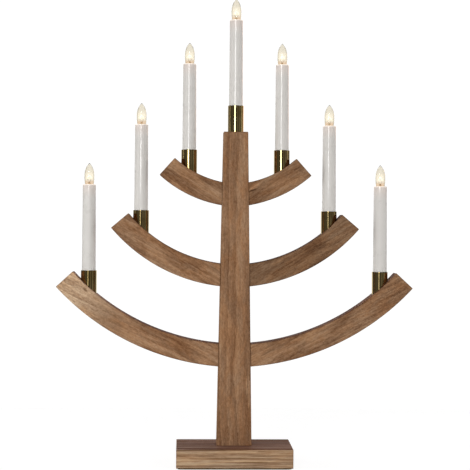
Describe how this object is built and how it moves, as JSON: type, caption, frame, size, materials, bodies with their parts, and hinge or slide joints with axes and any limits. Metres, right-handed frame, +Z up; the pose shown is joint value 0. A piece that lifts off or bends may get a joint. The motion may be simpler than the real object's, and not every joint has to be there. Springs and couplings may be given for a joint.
{
  "type": "electric candlestick",
  "caption": "Wooden tree-shaped electric candlestick: tapering post on a block base, curved arms, brass cups, white candle tubes and flame-shaped screw bulbs.",
  "frame": {"origin": "on the table, under the middle of the base", "axes": "+X to the right seen from the front, +Y to the back, +Z up"},
  "size_m": [0.4572, 0.095, 0.5999],
  "materials": {
    "wood": "satin",
    "dowel_wood": "matte",
    "felt": "matte",
    "steel": "satin",
    "rubber": "matte",
    "terminal_plastic": "matte",
    "wire_sleeve": "satin",
    "holder_plastic": "matte",
    "white_plastic": "gloss",
    "brass": "polished",
    "cap_brass": "satin",
    "solder": "satin",
    "glass": "gloss",
    "filament": "satin"
  },
  "bodies": {
    "frame": {"base_block": "wood", "base_felt": "felt", "base_screws": "steel", "cord_grommet": "rubber", "terminal_block": "terminal_plastic", "post": "wood", "arm_dowels": "dowel_wood", "groove_covers": "wood", "wiring": "wire_sleeve", "lampholders": "holder_plastic", "socket_shells": "brass", "socket_contacts": "brass", "arm_lower_left": "wood", "arm_lower_right": "wood", "arm_middle_left": "wood", "arm_middle_right": "wood", "arm_upper_left": "wood", "arm_upper_right": "wood", "cup_lower_left": "brass", "cup_lower_right": "brass", "cup_middle_left": "brass", "cup_middle_right": "brass", "cup_upper_left": "brass", "cup_upper_right": "brass", "cup_top": "brass", "candle_tube_lower_left": "white_plastic", "candle_tube_lower_right": "white_plastic", "candle_tube_middle_left": "white_plastic", "candle_tube_middle_right": "white_plastic", "candle_tube_upper_left": "white_plastic", "candle_tube_upper_right": "white_plastic", "candle_tube_top": "white_plastic"},
    "contact_lower_left": {"bulb_contact_lower_left": "solder"},
    "bulb_lower_left": {"bulb_glass_lower_left": "glass", "bulb_cap_lower_left": "cap_brass", "bulb_filament_lower_left": "filament"},
    "contact_lower_right": {"bulb_contact_lower_right": "solder"},
    "bulb_lower_right": {"bulb_glass_lower_right": "glass", "bulb_cap_lower_right": "cap_brass", "bulb_filament_lower_right": "filament"},
    "contact_middle_left": {"bulb_contact_middle_left": "solder"},
    "bulb_middle_left": {"bulb_glass_middle_left": "glass", "bulb_cap_middle_left": "cap_brass", "bulb_filament_middle_left": "filament"},
    "contact_middle_right": {"bulb_contact_middle_right": "solder"},
    "bulb_middle_right": {"bulb_glass_middle_right": "glass", "bulb_cap_middle_right": "cap_brass", "bulb_filament_middle_right": "filament"},
    "contact_upper_left": {"bulb_contact_upper_left": "solder"},
    "bulb_upper_left": {"bulb_glass_upper_left": "glass", "bulb_cap_upper_left": "cap_brass", "bulb_filament_upper_left": "filament"},
    "contact_upper_right": {"bulb_contact_upper_right": "solder"},
    "bulb_upper_right": {"bulb_glass_upper_right": "glass", "bulb_cap_upper_right": "cap_brass", "bulb_filament_upper_right": "filament"},
    "contact_top": {"bulb_contact_top": "solder"},
    "bulb_top": {"bulb_glass_top": "glass", "bulb_cap_top": "cap_brass", "bulb_filament_top": "filament"}
  },
  "joints": [
    {"name": "lift_lower_left", "type": "slide", "parent": "frame", "child": "contact_lower_left", "axis": [0, 0, 1], "range_m": [0, 0.0091]},
    {"name": "turn_lower_left", "type": "hinge", "parent": "contact_lower_left", "child": "bulb_lower_left", "pos_m": [-0.1877, 0, 0.35957], "axis": [0, 0, 1], "range_deg": [0, 1800]},
    {"name": "lift_lower_right", "type": "slide", "parent": "frame", "child": "contact_lower_right", "axis": [0, 0, 1], "range_m": [0, 0.0091]},
    {"name": "turn_lower_right", "type": "hinge", "parent": "contact_lower_right", "child": "bulb_lower_right", "pos_m": [0.1877, 0, 0.35957], "axis": [0, 0, 1], "range_deg": [0, 1800]},
    {"name": "lift_middle_left", "type": "slide", "parent": "frame", "child": "contact_middle_left", "axis": [0, 0, 1], "range_m": [0, 0.0091]},
    {"name": "turn_middle_left", "type": "hinge", "parent": "contact_middle_left", "child": "bulb_middle_left", "pos_m": [-0.1211, 0, 0.43724], "axis": [0, 0, 1], "range_deg": [0, 1800]},
    {"name": "lift_middle_right", "type": "slide", "parent": "frame", "child": "contact_middle_right", "axis": [0, 0, 1], "range_m": [0, 0.0091]},
    {"name": "turn_middle_right", "type": "hinge", "parent": "contact_middle_right", "child": "bulb_middle_right", "pos_m": [0.1211, 0, 0.43724], "axis": [0, 0, 1], "range_deg": [0, 1800]},
    {"name": "lift_upper_left", "type": "slide", "parent": "frame", "child": "contact_upper_left", "axis": [0, 0, 1], "range_m": [0, 0.0091]},
    {"name": "turn_upper_left", "type": "hinge", "parent": "contact_upper_left", "child": "bulb_upper_left", "pos_m": [-0.0597, 0, 0.51551], "axis": [0, 0, 1], "range_deg": [0, 1800]},
    {"name": "lift_upper_right", "type": "slide", "parent": "frame", "child": "contact_upper_right", "axis": [0, 0, 1], "range_m": [0, 0.0091]},
    {"name": "turn_upper_right", "type": "hinge", "parent": "contact_upper_right", "child": "bulb_upper_right", "pos_m": [0.0597, 0, 0.51551], "axis": [0, 0, 1], "range_deg": [0, 1800]},
    {"name": "lift_top", "type": "slide", "parent": "frame", "child": "contact_top", "axis": [0, 0, 1], "range_m": [0, 0.0091]},
    {"name": "turn_top", "type": "hinge", "parent": "contact_top", "child": "bulb_top", "pos_m": [0, 0, 0.5725], "axis": [0, 0, 1], "range_deg": [0, 1800]}
  ],
  "couplings": [
    {"joint": "lift_lower_left", "follows": "turn_lower_left", "m_per_rad": 0.00028871},
    {"joint": "lift_lower_right", "follows": "turn_lower_right", "m_per_rad": 0.00028871},
    {"joint": "lift_middle_left", "follows": "turn_middle_left", "m_per_rad": 0.00028871},
    {"joint": "lift_middle_right", "follows": "turn_middle_right", "m_per_rad": 0.00028871},
    {"joint": "lift_upper_left", "follows": "turn_upper_left", "m_per_rad": 0.00028871},
    {"joint": "lift_upper_right", "follows": "turn_upper_right", "m_per_rad": 0.00028871},
    {"joint": "lift_top", "follows": "turn_top", "m_per_rad": 0.00028871}
  ]
}
